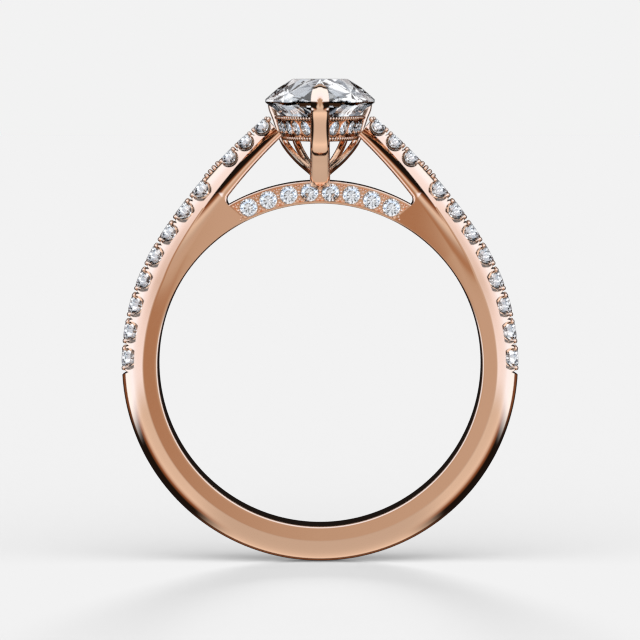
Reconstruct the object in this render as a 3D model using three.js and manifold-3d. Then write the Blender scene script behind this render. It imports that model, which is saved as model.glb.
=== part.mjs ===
// A rose-gold engagement ring with a pear-cut centre stone.
// The cathedral shank rises on both sides to a five-claw head whose front claw is a V-tip.
// A pear-shaped gallery band set with small stones runs under the centre stone, and a
// stone-set bridge closes the finger hole beneath the head.
//
// Millimetres. The origin is the centre of the finger hole, Y is the finger's axis with the
// pear's point towards -Y, Z points up to the stone, and the ring is symmetric about X = 0.

import * as THREE from 'three';
import { ConvexGeometry } from 'three/addons/geometries/ConvexGeometry.js';
import { mergeVertices } from 'three/addons/utils/BufferGeometryUtils.js';
import Module from 'manifold-3d';

const wasm = await Module();
wasm.setup();

// ---------------------------------------------------------------- driving dimensions

const CLEARANCE = 0.03; // solder and seat gap between two pieces

const BORE_RADIUS = 8.25;
const BAND_RADIUS = 10.1; // outside of the lower half of the shank
const BAND_HALF_WIDTH = 0.95; // along the finger
const ARM_END_HALF_WIDTH = 0.85; // the shoulders narrow towards the head
const DOME_DROP = 0.2; // how far the outer surface falls to its edges
const DOME_HALF_WIDTH = 0.72;
const EDGE_ROUND = 0.08; // eased edge of the bore

// The ridge is the widest line of the shank, where the bevel under the outer surface ends.
// Depths are below the outer surface.
const RIDGE_DEPTH = { band: 1.12, hip: 1.24, head: 0.66 };
const HIP_TRAVEL = 5; // distance up the outer surface from the widest point of the ring
// Above the hip the shoulder's side is scooped out between the ridge and the inner band,
// which keeps the full width and carries on the line of the bridge.
const SCOOP_START = 5.8;
const SCOOP_RECESS = 0.42; // at the head
const INNER_BAND_RADIUS = 9.3;
const LEAST_SCOOP = 0.15;

const SIDE_ARC = { radius: 12, degrees: 33.5 }; // from the widest point of the ring upwards
const SHOULDER_ARC = { radius: 28, degrees: 16.5 }; // from there to the head
const ARM_DEPTH_AT_BRIDGE = 1.56;
const ARM_DEPTH_AT_HEAD = 1.28;
const BRIDGE_JOINT_DEGREES = 7; // along the shoulder arc, where the bridge meets the arm
const WINDOW_CORNER_RADIUS = 0.35;

const BRIDGE_RADIUS = 9.385; // outside of the bridge bar
const BRIDGE_HALF_WIDTH = 0.9;
const BRIDGE_FIELD_DEPTH = 0.08; // the set face is sunk inside a thin border
const BRIDGE_BORDER = 0.09;
const BRIDGE_STONES = 8;
const BRIDGE_STONE_DIAMETER = 0.9;
const BRIDGE_STONE_PITCH_DEGREES = 6.92;

const SHOULDER_STONE_DIAMETER = 1.25;
const UPPER_STONE_DIAMETER = 1.08;
const LOWER_RUN = { count: 8, start: 0.35, pitch: 1.394 }; // measured up the outer surface
const UPPER_RUN = { count: 3, start: 12.3, pitch: 1.15 };
const SCALLOP_RADIUS = 0.46;

const PEAR_HALF_WIDTH = 2.8;
const PEAR_LENGTH = 8.4;
const GIRDLE_HEIGHT = 13.4; // mid-plane of the centre stone's girdle
const GIRDLE_THICKNESS = 0.1;
const CROWN_HEIGHT = 1.12;
const CROWN_INSET = 1.34; // from the girdle in to the table's edge
const PAVILION_DEPTH = 2.3;

const GALLERY_TOP = { inset: 0.48, height: 12.66 }; // inset from the girdle outline
const GALLERY_BOTTOM = { inset: 0.89, height: 11.41 };
const GALLERY_THICKNESS = 0.34;
const GALLERY_STONE_DIAMETER = 0.76;
const GALLERY_STONE_PITCH = 0.87;
const GALLERY_WING_STONES = 6; // along each side, forwards from the side claw

const SIDE_CLAW_DEGREES = 27; // round the pear's heel from its widest line
const BACK_CLAW_DEGREES = 54;
const CLAW_RADIUS = 0.17;
const SIDE_CLAW_FOOT = { x: 0.36, y: 0.3 }; // where the wires spring from the head base
const BACK_CLAW_FOOT = { x: 0.21, y: 0.72 };
const CLAW_FOOT_RISE = 0.08;
const CLAW_BELLY = { out: 0.07, back: 0.1, down: 0.08 }; // bulge of a wire below the band
const CLAW_HOOK = { reach: 0.35, height: 0.42 }; // how far a claw's tip comes in and up
const V_CLAW = { widthAtFoot: 1.02, widthAtTip: 0.88, thickness: 0.46, ahead: 0.14 };
const V_CLAW_BELLY = { y: -2.1, height: 10.35 };
const V_CLAW_HOOK = { reach: 0.42, height: 0.88 };
const V_CLAW_SQUARENESS = 0.6; // below 1 the bar's section is a square with round corners
const HEAD_BASE = { halfWidth: 0.5, halfLength: 0.6, centreY: 0.35, height: 0.3 };

// A round brilliant's proportions, as shares of its diameter.
const CULET_DEPTH = 0.43;
const TABLE_RISE = 0.155;
const TABLE_WIDTH = 0.55;
const HALF_GIRDLE = 0.015;

const roseGold = { color: 0xd9a585, roughness: 0.16, metalness: 1 };
const diamond = { color: 0xf3f6fa, roughness: 0.02, metalness: 0 };

// ---------------------------------------------------------------- helpers

const radians = THREE.MathUtils.degToRad;
const ring = new THREE.Group();

function addMesh(name, geometry, finish) {
  const mesh = new THREE.Mesh(geometry, new THREE.MeshStandardMaterial(finish));
  mesh.name = name;
  ring.add(mesh);
  return mesh;
}

// Turns a closed geometry into a solid that can be joined and cut.
function solidOf(geometry) {
  const bare = geometry.index ? geometry.clone() : geometry;
  bare.deleteAttribute('uv');
  bare.deleteAttribute('normal');
  const merged = mergeVertices(bare, 1e-5);
  return new wasm.Manifold(new wasm.Mesh({
    numProp: 3,
    vertProperties: new Float32Array(merged.attributes.position.array),
    triVerts: new Uint32Array(merged.index.array),
  }));
}

function geometryOf(solid) {
  const mesh = solid.getMesh();
  const geometry = new THREE.BufferGeometry();
  geometry.setAttribute('position', new THREE.BufferAttribute(mesh.vertProperties, 3));
  geometry.setIndex(new THREE.BufferAttribute(mesh.triVerts, 1));
  geometry.computeVertexNormals();
  return geometry;
}

function cut(body, cutters) {
  return cutters.reduce((rest, cutter) => rest.subtract(cutter), body);
}

function placed(geometry, matrix) {
  return geometry.clone().applyMatrix4(matrix);
}

// Skins a row of equal-count point rings. A closed row joins up with its start,
// and an open row gets a flat cap at each end.
function loft(rings, closed = false) {
  const count = rings[0].length;
  const points = rings.flat();
  const triangles = [];
  const spans = closed ? rings.length : rings.length - 1;
  for (let i = 0; i < spans; i += 1) {
    const here = i * count;
    const next = ((i + 1) % rings.length) * count;
    for (let j = 0; j < count; j += 1) {
      const k = (j + 1) % count;
      triangles.push([here + j, next + j, next + k], [here + j, next + k, here + k]);
    }
  }
  if (!closed) {
    const last = (rings.length - 1) * count;
    for (let j = 1; j < count - 1; j += 1) {
      triangles.push([0, j, j + 1], [last, last + j + 1, last + j]);
    }
  }
  const volume = triangles.reduce((sum, [a, b, c]) =>
    sum + points[a].dot(new THREE.Vector3().crossVectors(points[b], points[c])), 0);
  const outward = volume > 0 ? triangles : triangles.map(([a, b, c]) => [a, c, b]);
  const geometry = new THREE.BufferGeometry().setFromPoints(points);
  geometry.setIndex(outward.flat());
  geometry.computeVertexNormals();
  return geometry;
}

// ---------------------------------------------------------------- round stones

// A round brilliant in its plain outline: table, girdle and culet, with its girdle in the
// XY plane and its table up.
function brilliant(diameter) {
  const radius = diameter / 2;
  const facets = 8;
  const points = [new THREE.Vector3(0, 0, -CULET_DEPTH * diameter)];
  const addRing = (ringRadius, height, turn) => {
    for (let i = 0; i < facets; i += 1) {
      const angle = ((i + turn) / facets) * 2 * Math.PI;
      points.push(new THREE.Vector3(
        ringRadius * Math.cos(angle), ringRadius * Math.sin(angle), height));
    }
  };
  addRing(radius, -HALF_GIRDLE * diameter, 0);
  addRing(radius, HALF_GIRDLE * diameter, 0);
  addRing(TABLE_WIDTH * radius, TABLE_RISE * diameter, 0.5);
  return new ConvexGeometry(points);
}

// The hole a setter drills for a brilliant: a cone under the girdle and a straight wall
// above it, open to the surface.
function seatCutter(diameter, wallHeight) {
  const radius = diameter / 2 + CLEARANCE;
  const profile = [
    new THREE.Vector2(0, -CULET_DEPTH * diameter - 2 * CLEARANCE),
    new THREE.Vector2(radius, -HALF_GIRDLE * diameter - CLEARANCE),
    new THREE.Vector2(radius, wallHeight),
    new THREE.Vector2(0, wallHeight),
  ];
  const turnedToZ = new THREE.Matrix4().makeRotationX(Math.PI / 2);
  return new THREE.LatheGeometry(profile, 10).applyMatrix4(turnedToZ);
}

// Places a stone or its cutter: at origin, with its table facing along axis.
function stoneMatrix(origin, axis) {
  const turn = new THREE.Quaternion().setFromUnitVectors(new THREE.Vector3(0, 0, 1), axis);
  return new THREE.Matrix4().compose(origin, turn, new THREE.Vector3(1, 1, 1));
}

function addStone(name, diameter, seat) {
  const mesh = addMesh(name, brilliant(diameter), diamond);
  mesh.applyMatrix4(stoneMatrix(seat.origin, seat.axis));
}

// ---------------------------------------------------------------- shank outline

const sideArcLength = SIDE_ARC.radius * radians(SIDE_ARC.degrees);
const armEnd = sideArcLength + SHOULDER_ARC.radius * radians(SHOULDER_ARC.degrees);
const bridgeJoint = sideArcLength + SHOULDER_ARC.radius * radians(BRIDGE_JOINT_DEGREES);
const bandBottom = -BAND_RADIUS * Math.PI / 2;

function arcPoint(centre, radius, angle) {
  const normal = new THREE.Vector3(Math.cos(angle), 0, Math.sin(angle));
  return { point: centre.clone().addScaledVector(normal, radius), normal };
}

// The outer surface of the right half in the XZ plane. Travel is the distance along it
// from the ring's widest point: negative down to the bottom, positive up to the head.
function outerAt(travel) {
  if (travel <= 0) {
    return arcPoint(new THREE.Vector3(), BAND_RADIUS, travel / BAND_RADIUS);
  }
  const sideCentre = new THREE.Vector3(BAND_RADIUS - SIDE_ARC.radius, 0, 0);
  if (travel <= sideArcLength) {
    return arcPoint(sideCentre, SIDE_ARC.radius, travel / SIDE_ARC.radius);
  }
  const turn = radians(SIDE_ARC.degrees);
  const start = arcPoint(sideCentre, SIDE_ARC.radius, turn);
  const armCentre = start.point.clone().addScaledVector(start.normal, -SHOULDER_ARC.radius);
  const angle = turn + (travel - sideArcLength) / SHOULDER_ARC.radius;
  return arcPoint(armCentre, SHOULDER_ARC.radius, angle);
}

// How deep a circle about the finger's axis lies under an outer point, along its normal.
function depthToCircle({ point, normal }, radius) {
  const along = point.dot(normal);
  return along - Math.sqrt(along * along - point.lengthSq() + radius * radius);
}

// The shank's depth: down to the bore, and past the bridge only the arm's own depth, with
// a rounded corner between the two.
function shankDepth(travel) {
  const outer = outerAt(travel);
  if (travel <= bridgeJoint) {
    return depthToCircle(outer, BORE_RADIUS);
  }
  const share = (travel - bridgeJoint) / (armEnd - bridgeJoint);
  const arm = THREE.MathUtils.lerp(ARM_DEPTH_AT_BRIDGE, ARM_DEPTH_AT_HEAD, share);
  const inCorner = Math.max(0, WINDOW_CORNER_RADIUS - (travel - bridgeJoint));
  const corner = Math.sqrt(WINDOW_CORNER_RADIUS ** 2 - inCorner ** 2);
  return arm + WINDOW_CORNER_RADIUS - corner;
}

function shankHalfWidth(travel) {
  const share = THREE.MathUtils.clamp((travel - sideArcLength) / (armEnd - sideArcLength), 0, 1);
  return THREE.MathUtils.lerp(BAND_HALF_WIDTH, ARM_END_HALF_WIDTH, share);
}

function ridgeDepth(travel) {
  if (travel < HIP_TRAVEL) {
    const share = Math.max(0, travel / HIP_TRAVEL);
    return THREE.MathUtils.lerp(RIDGE_DEPTH.band, RIDGE_DEPTH.hip, share);
  }
  const share = (travel - HIP_TRAVEL) / (armEnd - HIP_TRAVEL);
  return THREE.MathUtils.lerp(RIDGE_DEPTH.hip, RIDGE_DEPTH.head, share);
}

// The side of the shank under the ridge, as depth and half-width pairs: the scoop, then the
// inner band's edge or, past the bridge, the arm's own underside.
function sideBelowRidge(travel, depth) {
  const ridge = ridgeDepth(travel);
  const halfWidth = shankHalfWidth(travel);
  const share = THREE.MathUtils.clamp((travel - SCOOP_START) / (armEnd - SCOOP_START), 0, 1);
  const web = halfWidth - SCOOP_RECESS * share;
  const onArm = travel > bridgeJoint;
  const bandEdge = onArm ? depth - EDGE_ROUND : depthToCircle(outerAt(travel), INNER_BAND_RADIUS);
  const foot = Math.max(bandEdge, ridge + LEAST_SCOOP);
  const scoop = [0.25, 0.6, 1].map((part) => [
    THREE.MathUtils.lerp(ridge, foot, part), web + (halfWidth - web) * (1 - part) ** 2]);
  const inner = onArm ? web : halfWidth;
  return [
    ...scoop,
    [foot + EDGE_ROUND / 2, onArm ? web - EDGE_ROUND / 4 : halfWidth],
    [depth - (onArm ? EDGE_ROUND / 4 : EDGE_ROUND), onArm ? web - EDGE_ROUND / 2 : halfWidth],
    [depth, inner - EDGE_ROUND],
  ];
}

// One cross-section: a domed top, a bevel down to the ridge, and the side below it.
function shankSection(travel, side, depth = shankDepth(travel)) {
  const { point, normal } = outerAt(travel);
  const halfWidth = shankHalfWidth(travel);
  const domeEdge = DOME_HALF_WIDTH * halfWidth / BAND_HALF_WIDTH;
  const half = [
    [DOME_DROP / 4, domeEdge / 2],
    [DOME_DROP, domeEdge],
    [ridgeDepth(travel), halfWidth],
    ...sideBelowRidge(travel, depth),
  ];
  const mirrored = half.map(([d, y]) => [d, -y]).reverse();
  return [[0, 0], ...half, ...mirrored].map(([d, y]) => {
    const inward = point.clone().addScaledVector(normal, -d);
    return new THREE.Vector3(side * inward.x, y, inward.z);
  });
}

function evenly(start, end, steps) {
  return Array.from({ length: steps + 1 }, (_, i) => start + (i / steps) * (end - start));
}

function shankStations() {
  const belowJoint = [...evenly(bandBottom, 0, 18), ...evenly(0, bridgeJoint, 14).slice(1)];
  const corner = evenly(bridgeJoint + 0.01, bridgeJoint + WINDOW_CORNER_RADIUS, 4);
  const arm = evenly(bridgeJoint + WINDOW_CORNER_RADIUS, armEnd, 5).slice(1);
  return [...belowJoint, ...corner, ...arm];
}

function shankBlank() {
  const stations = shankStations();
  const left = stations.slice(1).reverse().map((travel) => shankSection(travel, -1));
  const right = stations.map((travel) => shankSection(travel, 1));
  return solidOf(loft([...left, ...right]));
}

// ---------------------------------------------------------------- shoulder stones

// Seats up one shoulder: a lower run, a gap at the bridge joint, and an upper run.
function shoulderSeats(side) {
  const runs = [
    { ...LOWER_RUN, diameter: SHOULDER_STONE_DIAMETER },
    { ...UPPER_RUN, diameter: UPPER_STONE_DIAMETER },
  ];
  return runs.flatMap(({ count, start, pitch, diameter }) =>
    Array.from({ length: count }, (_, i) => {
      const { point, normal } = outerAt(start + i * pitch);
      const origin = point.clone().addScaledVector(normal, -TABLE_RISE * diameter);
      origin.x *= side;
      return { diameter, origin, axis: new THREE.Vector3(side * normal.x, 0, normal.z) };
    }));
}

// A seat with the U-shaped notch across the shoulder that lets light in from the sides.
function scallopCutters({ diameter, origin, axis }) {
  const seat = placed(seatCutter(diameter, 1), stoneMatrix(origin, axis));
  const radius = SCALLOP_RADIUS * diameter / SHOULDER_STONE_DIAMETER;
  const notch = new THREE.CylinderGeometry(radius, radius, 3, 12);
  const notchPlace = new THREE.Matrix4().setPosition(origin);
  return [solidOf(seat), solidOf(placed(notch, notchPlace))];
}

// ---------------------------------------------------------------- bridge

// The bar's outline in the XZ plane, its ends parallel to the arms' joint faces.
function bridgeShape(innerRadius, outerRadius, endGap) {
  const joint = outerAt(bridgeJoint);
  const tangent = new THREE.Vector3(-joint.normal.z, 0, joint.normal.x);
  const shifted = { point: joint.point.clone().addScaledVector(tangent, endGap),
    normal: joint.normal };
  const angleAt = (radius) => {
    const end = shifted.point.clone()
      .addScaledVector(shifted.normal, -depthToCircle(shifted, radius));
    return Math.atan2(end.z, end.x);
  };
  const outerStart = angleAt(outerRadius);
  const innerStart = angleAt(innerRadius);
  const shape = new THREE.Shape();
  shape.absarc(0, 0, outerRadius, outerStart, Math.PI - outerStart, false);
  shape.absarc(0, 0, innerRadius, Math.PI - innerStart, innerStart, true);
  return shape;
}

// Extrudes a shape drawn in XZ along Y, from one Y to another.
function extrudeAlongY(shape, fromY, toY) {
  const options = { depth: toY - fromY, bevelEnabled: false, curveSegments: 14 };
  const upright = new THREE.Matrix4().makeRotationX(Math.PI / 2).setPosition(0, toY, 0);
  return new THREE.ExtrudeGeometry(shape, options).applyMatrix4(upright);
}

const bridgeMidRadius = (BORE_RADIUS + BRIDGE_RADIUS) / 2;

function bridgeSeats(face) {
  const first = -(BRIDGE_STONES - 1) / 2;
  const tableRise = TABLE_RISE * BRIDGE_STONE_DIAMETER;
  return Array.from({ length: BRIDGE_STONES }, (_, i) => {
    const angle = radians(90 - (first + i) * BRIDGE_STONE_PITCH_DEGREES);
    return {
      diameter: BRIDGE_STONE_DIAMETER,
      origin: new THREE.Vector3(
        bridgeMidRadius * Math.cos(angle),
        face * (BRIDGE_HALF_WIDTH - tableRise),
        bridgeMidRadius * Math.sin(angle)),
      axis: new THREE.Vector3(0, face, 0),
    };
  });
}

function bridgeSolid() {
  const bar = bridgeShape(BORE_RADIUS, BRIDGE_RADIUS, CLEARANCE);
  const field = bridgeShape(
    BORE_RADIUS + BRIDGE_BORDER, BRIDGE_RADIUS - BRIDGE_BORDER, CLEARANCE + BRIDGE_BORDER);
  const fieldFloor = BRIDGE_HALF_WIDTH - BRIDGE_FIELD_DEPTH;
  const seats = [...bridgeSeats(-1), ...bridgeSeats(1)];
  return cut(solidOf(extrudeAlongY(bar, -BRIDGE_HALF_WIDTH, BRIDGE_HALF_WIDTH)), [
    solidOf(extrudeAlongY(field, -BRIDGE_HALF_WIDTH - 1, -fieldFloor)),
    solidOf(extrudeAlongY(field, fieldFloor, BRIDGE_HALF_WIDTH + 1)),
    ...seats.map(({ diameter, origin, axis }) =>
      solidOf(placed(seatCutter(diameter, 0.5), stoneMatrix(origin, axis)))),
  ]);
}

// ---------------------------------------------------------------- pear outline

const pearTip = -PEAR_LENGTH / 2;
const heelCentre = PEAR_LENGTH / 2 - PEAR_HALF_WIDTH; // centre of the round heel, on Y
const wingLength = heelCentre - pearTip;

// Right wing of the girdle, a parabola from the tip (share 0) to the widest line (share 1),
// moved inwards by inset.
function wingPoint(share, inset) {
  const slope = 2 * PEAR_HALF_WIDTH * (1 - share) / wingLength;
  const length = Math.hypot(1, slope);
  const x = PEAR_HALF_WIDTH * (2 * share - share * share) - inset / length;
  const y = pearTip + wingLength * share + inset * slope / length;
  return new THREE.Vector2(x, y);
}

// Where the inset wings cross on the centre line.
function tipShare(inset) {
  let low = 0;
  let high = 0.9;
  for (let i = 0; i < 40; i += 1) {
    const middle = (low + high) / 2;
    if (wingPoint(middle, inset).x < 0) {
      low = middle;
    } else {
      high = middle;
    }
  }
  return high;
}

// The whole outline, from the tip up the right wing, round the heel and back to the tip.
function pearOutline(inset, wingSteps, heelSteps) {
  const wing = evenly(Math.max(0, tipShare(inset)), 1, wingSteps)
    .map((share) => wingPoint(share, inset));
  wing[0].x = 0;
  const heel = evenly(0, Math.PI / 2, heelSteps).slice(1).map((angle) => new THREE.Vector2(
    (PEAR_HALF_WIDTH - inset) * Math.cos(angle),
    heelCentre + (PEAR_HALF_WIDTH - inset) * Math.sin(angle)));
  const right = [...wing, ...heel];
  right[right.length - 1].x = 0;
  const left = right.slice(1, -1).reverse().map(({ x, y }) => new THREE.Vector2(-x, y));
  return [...right, ...left];
}

function atHeight(outline, height) {
  return outline.map(({ x, y }) => new THREE.Vector3(x, y, height));
}

// ---------------------------------------------------------------- centre stone

function pearStone(growth) {
  const girdle = pearOutline(-growth, 7, 5);
  const halfGirdle = GIRDLE_THICKNESS / 2 + growth;
  return new ConvexGeometry([
    ...atHeight(pearOutline(CROWN_INSET - growth, 3, 3), GIRDLE_HEIGHT + CROWN_HEIGHT + growth),
    ...atHeight(girdle, GIRDLE_HEIGHT + halfGirdle),
    ...atHeight(girdle, GIRDLE_HEIGHT - halfGirdle),
    new THREE.Vector3(0, heelCentre, GIRDLE_HEIGHT - halfGirdle - PAVILION_DEPTH - growth),
  ]);
}

const pearClearance = solidOf(pearStone(CLEARANCE));

// ---------------------------------------------------------------- gallery band

function galleryBlank(growth) {
  const wingSteps = 7;
  const heelSteps = 5;
  const outerTop = pearOutline(GALLERY_TOP.inset - growth, wingSteps, heelSteps);
  const outerBottom = pearOutline(GALLERY_BOTTOM.inset - growth, wingSteps, heelSteps);
  const innerTop = pearOutline(
    GALLERY_TOP.inset + GALLERY_THICKNESS + growth, wingSteps, heelSteps);
  const innerBottom = pearOutline(
    GALLERY_BOTTOM.inset + GALLERY_THICKNESS + growth, wingSteps, heelSteps);
  const top = GALLERY_TOP.height + growth;
  const bottom = GALLERY_BOTTOM.height - growth;
  const sections = outerTop.map((_, i) => [
    new THREE.Vector3(outerTop[i].x, outerTop[i].y, top),
    new THREE.Vector3(outerBottom[i].x, outerBottom[i].y, bottom),
    new THREE.Vector3(innerBottom[i].x, innerBottom[i].y, bottom),
    new THREE.Vector3(innerTop[i].x, innerTop[i].y, top),
  ]);
  return solidOf(loft(sections, true));
}

const galleryMid = {
  inset: (GALLERY_TOP.inset + GALLERY_BOTTOM.inset) / 2,
  height: (GALLERY_TOP.height + GALLERY_BOTTOM.height) / 2,
};
const galleryLean = Math.atan2(
  GALLERY_BOTTOM.inset - GALLERY_TOP.inset, GALLERY_TOP.height - GALLERY_BOTTOM.height);

// A point and outward direction on the right half of the band's mid-line: distance
// is measured from the widest line, forwards when negative and round the heel when positive.
function galleryPoint(distance) {
  if (distance >= 0) {
    const angle = distance / (PEAR_HALF_WIDTH - galleryMid.inset);
    const outward = new THREE.Vector2(Math.cos(angle), Math.sin(angle));
    const point = outward.clone().multiplyScalar(PEAR_HALF_WIDTH - galleryMid.inset);
    point.y += heelCentre;
    return { point, outward };
  }
  let share = 1;
  let point = wingPoint(share, galleryMid.inset);
  let travelled = 0;
  while (travelled < -distance) {
    share -= 0.001;
    const next = wingPoint(share, galleryMid.inset);
    travelled += next.distanceTo(point);
    point = next;
  }
  const slope = 2 * PEAR_HALF_WIDTH * (1 - share) / wingLength;
  return { point, outward: new THREE.Vector2(1, -slope).normalize() };
}

function gallerySeat(distance, side) {
  const { point, outward } = galleryPoint(distance);
  const axis = new THREE.Vector3(
    side * outward.x * Math.cos(galleryLean),
    outward.y * Math.cos(galleryLean),
    -Math.sin(galleryLean));
  const surface = new THREE.Vector3(side * point.x, point.y, galleryMid.height);
  const origin = surface.addScaledVector(axis, -TABLE_RISE * GALLERY_STONE_DIAMETER);
  return { diameter: GALLERY_STONE_DIAMETER, origin, axis };
}

// Stones along each wing, one between each side and back claw, and three across the heel.
function gallerySeats() {
  const heelArc = PEAR_HALF_WIDTH - galleryMid.inset;
  const sideClaw = heelArc * radians(SIDE_CLAW_DEGREES);
  const backClaw = heelArc * radians(BACK_CLAW_DEGREES);
  const heel = heelArc * Math.PI / 2;
  const clawRoom = GALLERY_STONE_DIAMETER / 2 + CLAW_RADIUS + CLEARANCE;
  const wing = Array.from({ length: GALLERY_WING_STONES },
    (_, i) => sideClaw - clawRoom - i * GALLERY_STONE_PITCH);
  const half = [...wing, (sideClaw + backClaw) / 2, heel - GALLERY_STONE_PITCH];
  return {
    left: half.map((distance) => gallerySeat(distance, -1)),
    right: half.map((distance) => gallerySeat(distance, 1)),
    back: [gallerySeat(heel, 1)],
  };
}

// ---------------------------------------------------------------- head

// A claw wire along a smooth curve through its points.
function clawWire(points) {
  const section = new THREE.Shape().absarc(0, 0, CLAW_RADIUS, 0, 2 * Math.PI, false);
  return new THREE.ExtrudeGeometry(section, {
    steps: 14,
    curveSegments: 4,
    extrudePath: new THREE.CatmullRomCurve3(points),
  });
}

const bridgeTop = BRIDGE_RADIUS + CLEARANCE;
const baseTop = bridgeTop + HEAD_BASE.height + CLEARANCE;

// A claw that starts on the head base and leans out past the gallery band, then bends in
// over the girdle.
function roundClaw(degrees, side, footPlace) {
  const angle = radians(degrees);
  const at = (radius, height) => new THREE.Vector3(
    side * radius * Math.cos(angle), heelCentre + radius * Math.sin(angle), height);
  const bandFoot = PEAR_HALF_WIDTH - GALLERY_BOTTOM.inset + CLAW_RADIUS + CLEARANCE;
  const bandHead = PEAR_HALF_WIDTH - GALLERY_TOP.inset + CLAW_RADIUS + 2 * CLEARANCE;
  const foot = new THREE.Vector3(side * footPlace.x, footPlace.y, baseTop + CLAW_FOOT_RISE);
  const elbow = at(bandFoot, GALLERY_BOTTOM.height - 0.1);
  const bulge = new THREE.Vector3(side * CLAW_BELLY.out, CLAW_BELLY.back, -CLAW_BELLY.down);
  const belly = foot.clone().lerp(elbow, 0.5).add(bulge);
  return clawWire([
    foot,
    belly,
    elbow,
    at(bandHead + 0.06, GALLERY_TOP.height - 0.15),
    at(PEAR_HALF_WIDTH, GIRDLE_HEIGHT - 0.35),
    at(PEAR_HALF_WIDTH - 0.02, GIRDLE_HEIGHT + 0.12),
    at(PEAR_HALF_WIDTH - CLAW_HOOK.reach, GIRDLE_HEIGHT + CLAW_HOOK.height),
  ]);
}

// The front claw: a flat bar from the bridge to the pear's point, folded over the tip.
function frontClaw() {
  const tipFront = pearTip - V_CLAW.ahead;
  const spine = new THREE.CatmullRomCurve3([
    new THREE.Vector3(0, -0.6, bridgeTop + 0.13),
    new THREE.Vector3(0, V_CLAW_BELLY.y, V_CLAW_BELLY.height),
    new THREE.Vector3(0, -3.28, GALLERY_BOTTOM.height),
    new THREE.Vector3(0, -3.86, GALLERY_TOP.height),
    new THREE.Vector3(0, tipFront, GIRDLE_HEIGHT),
    new THREE.Vector3(0, tipFront + 0.12, GIRDLE_HEIGHT + 0.55),
    new THREE.Vector3(0, tipFront + V_CLAW_HOOK.reach, GIRDLE_HEIGHT + V_CLAW_HOOK.height),
  ]);
  const steps = 16;
  const sides = 12;
  const roundEnd = 0.85; // share of the length where the tip starts to round off
  const leastEnd = 0.35; // share of the full section left at the very tip
  const rings = evenly(0, 1, steps).map((share) => {
    const centre = spine.getPointAt(share);
    const tangent = spine.getTangentAt(share);
    const front = new THREE.Vector3(0, -tangent.z, tangent.y);
    const past = Math.max(0, (share - roundEnd) / (1 - roundEnd));
    const rounding = Math.max(leastEnd, Math.sqrt(1 - past * past));
    const width = THREE.MathUtils.lerp(V_CLAW.widthAtFoot, V_CLAW.widthAtTip, share);
    return Array.from({ length: sides }, (_, i) => {
      const angle = ((i + 0.5) / sides) * 2 * Math.PI;
      const square = (value) => Math.sign(value) * Math.abs(value) ** V_CLAW_SQUARENESS;
      return centre.clone()
        .addScaledVector(new THREE.Vector3(1, 0, 0),
          0.5 * width * rounding * square(Math.cos(angle)))
        .addScaledVector(front, 0.5 * V_CLAW.thickness * rounding * square(Math.sin(angle)));
    });
  });
  return loft(rings);
}

function headBase() {
  const { halfWidth, halfLength, centreY, height } = HEAD_BASE;
  const wall = { top: 0.7 * height, radius: 1 }; // the lathe is drawn at unit radius
  const chamfered = { top: height, radius: 0.86 };
  const profile = [
    new THREE.Vector2(0, 0),
    new THREE.Vector2(wall.radius, 0),
    new THREE.Vector2(wall.radius, wall.top),
    new THREE.Vector2(chamfered.radius, chamfered.top),
    new THREE.Vector2(0, chamfered.top),
  ];
  const upright = new THREE.Matrix4().makeRotationX(Math.PI / 2);
  const oval = new THREE.Matrix4().makeScale(halfWidth, halfLength, 1);
  const place = new THREE.Matrix4().setPosition(0, centreY, bridgeTop);
  return new THREE.LatheGeometry(profile, 16)
    .applyMatrix4(upright).applyMatrix4(oval).applyMatrix4(place);
}

// ---------------------------------------------------------------- assembly

const shoulders = { left: shoulderSeats(-1), right: shoulderSeats(1) };
const galleryStones = gallerySeats();
const galleryClearance = galleryBlank(CLEARANCE);

function addMetal() {
  const scallops = [...shoulders.left, ...shoulders.right].flatMap(scallopCutters);
  addMesh('shank', geometryOf(cut(shankBlank(), [...scallops, galleryClearance])), roseGold);
  addMesh('bridge', geometryOf(bridgeSolid()), roseGold);
  addMesh('head_base', headBase(), roseGold);

  const gallerySeatCutters = Object.values(galleryStones).flat()
    .map(({ diameter, origin, axis }) =>
      solidOf(placed(seatCutter(diameter, 0.4), stoneMatrix(origin, axis))));
  const gallery = cut(galleryBlank(0), [pearClearance, ...gallerySeatCutters]);
  addMesh('gallery_band', geometryOf(gallery), roseGold);

  const trimmed = (geometry) => cut(solidOf(geometry), [pearClearance, galleryClearance]);
  addMesh('front_v_claw', geometryOf(trimmed(frontClaw())), roseGold);
  for (const [label, side] of [['left', -1], ['right', 1]]) {
    const sideClaw = roundClaw(SIDE_CLAW_DEGREES, side, SIDE_CLAW_FOOT);
    const backClaw = roundClaw(BACK_CLAW_DEGREES, side, BACK_CLAW_FOOT);
    addMesh(`${label}_side_claw`, geometryOf(trimmed(sideClaw)), roseGold);
    addMesh(`${label}_back_claw`, geometryOf(trimmed(backClaw)), roseGold);
  }
}

function addStones() {
  addMesh('centre_stone', pearStone(0), diamond);
  for (const [label, seats] of Object.entries(shoulders)) {
    seats.forEach((seat, i) => addStone(`${label}_shoulder_stone_${i + 1}`, seat.diameter, seat));
  }
  bridgeSeats(-1).forEach((seat, i) => addStone(`bridge_stone_${i + 1}`, seat.diameter, seat));
  for (const [label, seats] of Object.entries(galleryStones)) {
    seats.forEach((seat, i) => addStone(`${label}_gallery_stone_${i + 1}`, seat.diameter, seat));
  }
}

addMetal();
addStones();

export default ring;
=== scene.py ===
"""The looks of the rose-gold engagement ring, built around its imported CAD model.

Geometry is worked out in millimetres in the ring's own frame: the origin is the centre of the
finger hole, Y runs along the finger with the pear's point towards -Y, and Z points up to the
stone. Every mesh is scaled to metres when it becomes a piece.
"""

import math

import bmesh
import bpy
import numpy as np
from mathutils import Matrix, Vector


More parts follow.
